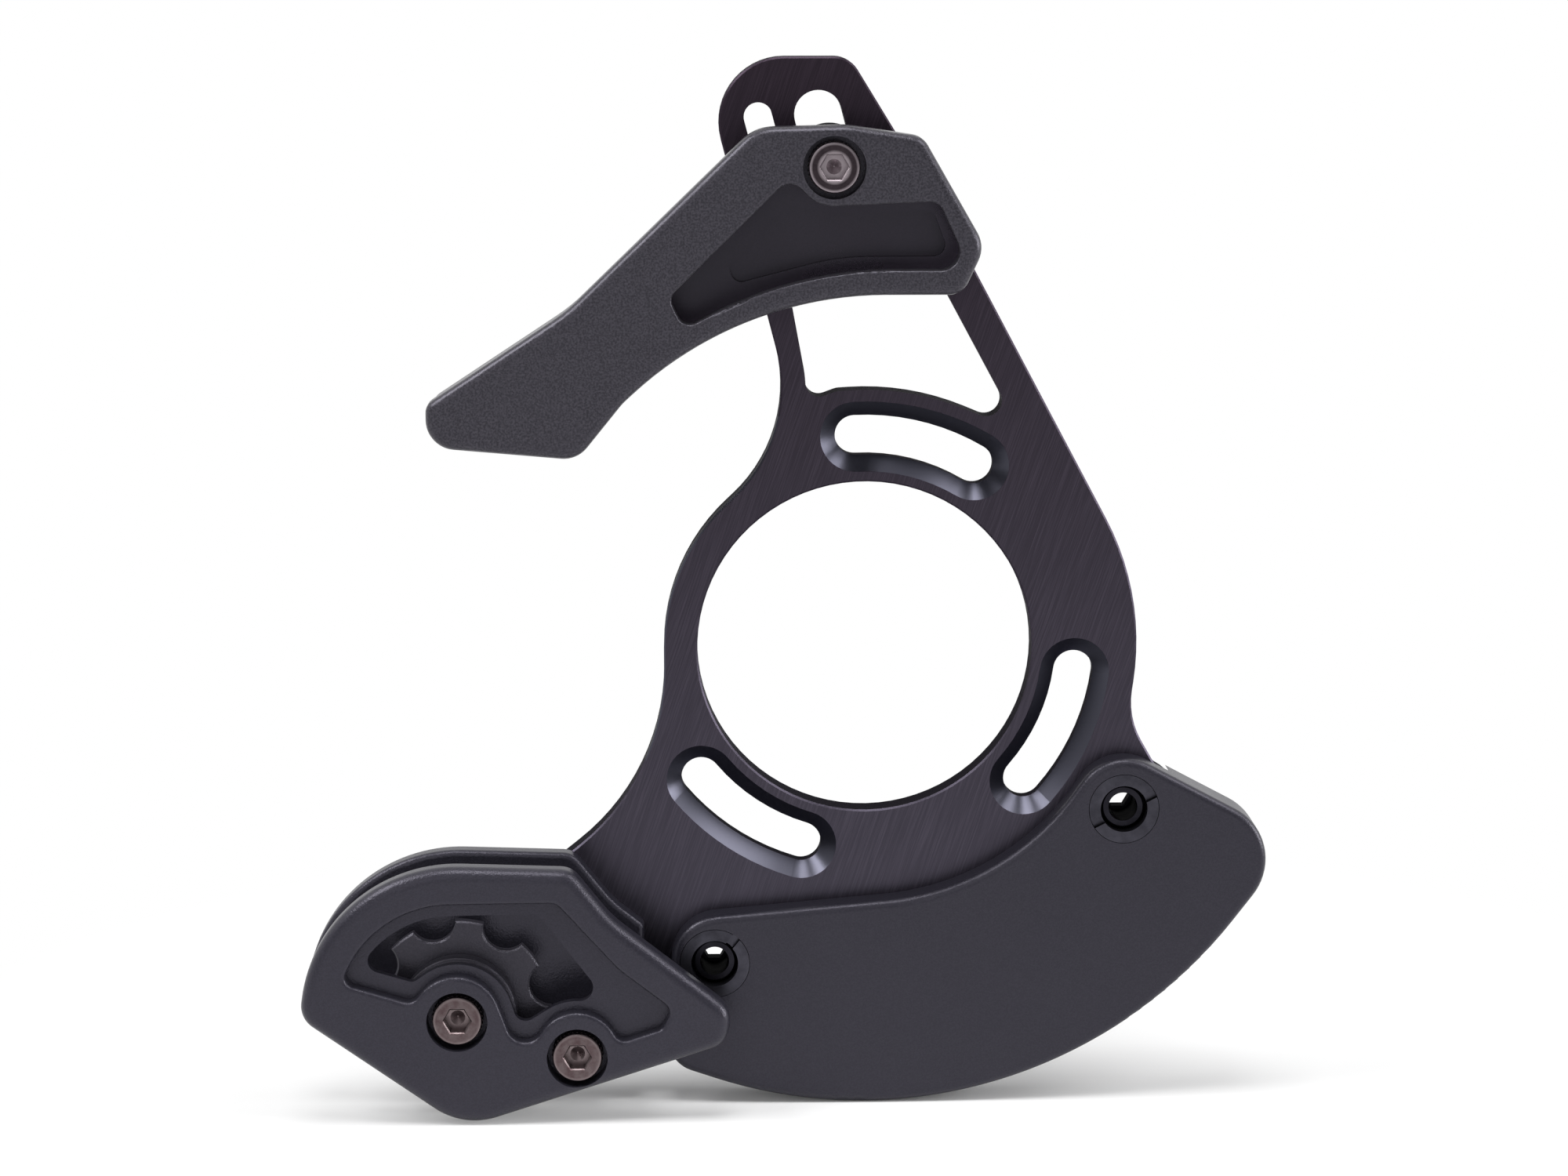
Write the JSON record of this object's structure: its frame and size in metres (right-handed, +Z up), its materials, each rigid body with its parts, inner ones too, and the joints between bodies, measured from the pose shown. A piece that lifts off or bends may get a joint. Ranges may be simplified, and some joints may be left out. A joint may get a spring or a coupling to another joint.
{
  "type": "bicycle chain guide",
  "caption": "Bicycle chain guide with a brushed backplate round a bottom bracket bore, a sliding upper guide, a lower pulley cage and a curved bash guard.",
  "frame": {"origin": "centre of the bottom bracket bore, on the backplate's inboard face", "axes": "+X forward along the bicycle, +Z up, +Y inboard along the bore; the side with the bolt heads faces -Y"},
  "size_m": [0.1661, 0.0233, 0.1805],
  "materials": {
    "anodised_plate": "black anodised over fine brush lines",
    "cage_moulding": "satin charcoal nylon",
    "guide_moulding": "fine-grained charcoal nylon",
    "bash_moulding": "satin charcoal nylon",
    "pulley_moulding": "satin black nylon",
    "bolt_steel": "bronze-grey plated steel",
    "dark_hardware": "black anodised",
    "bearing_steel": "ground steel",
    "spacer_metal": "turned"
  },
  "bodies": {
    "frame": {"backplate": "anodised_plate", "cage_inner": "cage_moulding", "cage_outer": "cage_moulding", "bash_guard": "bash_moulding", "pulley_spacer": "spacer_metal", "cage_spacer": "spacer_metal", "pulley_bolt": "bolt_steel", "cage_bolt": "bolt_steel", "bearing_inner_ring": "bearing_steel", "bash_nut_front": "dark_hardware", "bash_bolt_front": "dark_hardware", "bash_nut_rear": "dark_hardware", "bash_bolt_rear": "dark_hardware"},
    "pulley": {"pulley_wheel": "pulley_moulding", "bearing_outer_ring": "bearing_steel", "bearing_balls": "bearing_steel", "bearing_shield_rear": "bearing_steel", "bearing_shield_front": "bearing_steel"},
    "upper_guide": {"upper_guide_outer": "guide_moulding", "upper_guide_inner": "guide_moulding", "upper_guide_spacer": "spacer_metal", "upper_guide_bolt": "bolt_steel", "upper_guide_nut": "dark_hardware"}
  },
  "joints": [
    {"name": "pulley_spin", "type": "hinge", "parent": "frame", "child": "pulley", "pos_m": [-0.07, -0.0125, -0.0616], "axis": [0, 1, 0], "continuous": true},
    {"name": "upper_guide_slide", "type": "slide", "parent": "frame", "child": "upper_guide", "axis": [-0.2588, 0, 0.9659], "range_m": [-0.004, 0.0082]}
  ]
}
